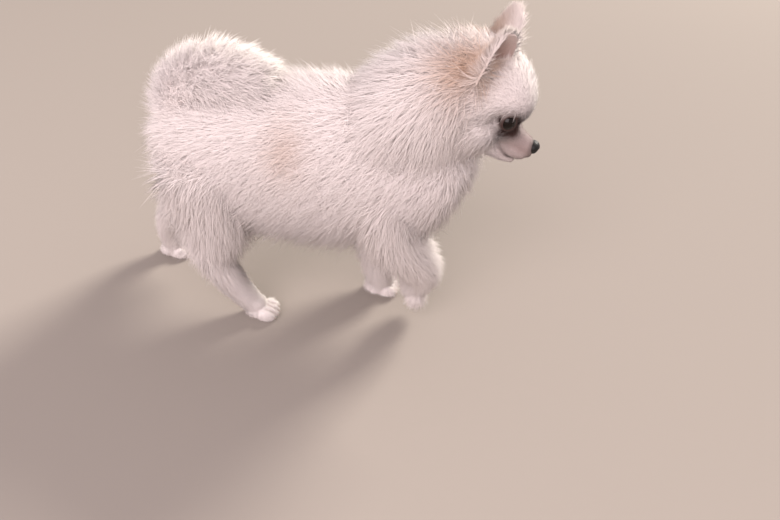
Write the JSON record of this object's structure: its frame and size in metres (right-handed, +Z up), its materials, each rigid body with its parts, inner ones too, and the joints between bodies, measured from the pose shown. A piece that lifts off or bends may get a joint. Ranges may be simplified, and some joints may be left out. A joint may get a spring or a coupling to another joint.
{
  "type": "pomeranian dog",
  "caption": "Pomeranian puppy at life size, walking with its right forepaw lifted, in a long cream coat.",
  "frame": {"origin": "on the floor, under the middle of the bounding box", "axes": "+X towards the nose, along the body; +Y the dog's left; +Z up"},
  "size_m": [0.3342, 0.14, 0.2734],
  "materials": {
    "coat": "soft long fur",
    "ear": "short fur over pink skin",
    "nose": "moist pebbled leather",
    "eye": "wet and clear",
    "claw": "smooth horn"
  },
  "bodies": {
    "root": {"torso": "coat", "neck": "coat", "head": "coat", "nose": "nose", "eye_left": "eye", "eye_right": "eye", "ear_left": "ear", "ear_right": "ear", "leg_front_left": "coat", "leg_front_right": "coat", "leg_hind_left": "coat", "leg_hind_right": "coat", "tail": "coat"}
  },
  "joints": []
}
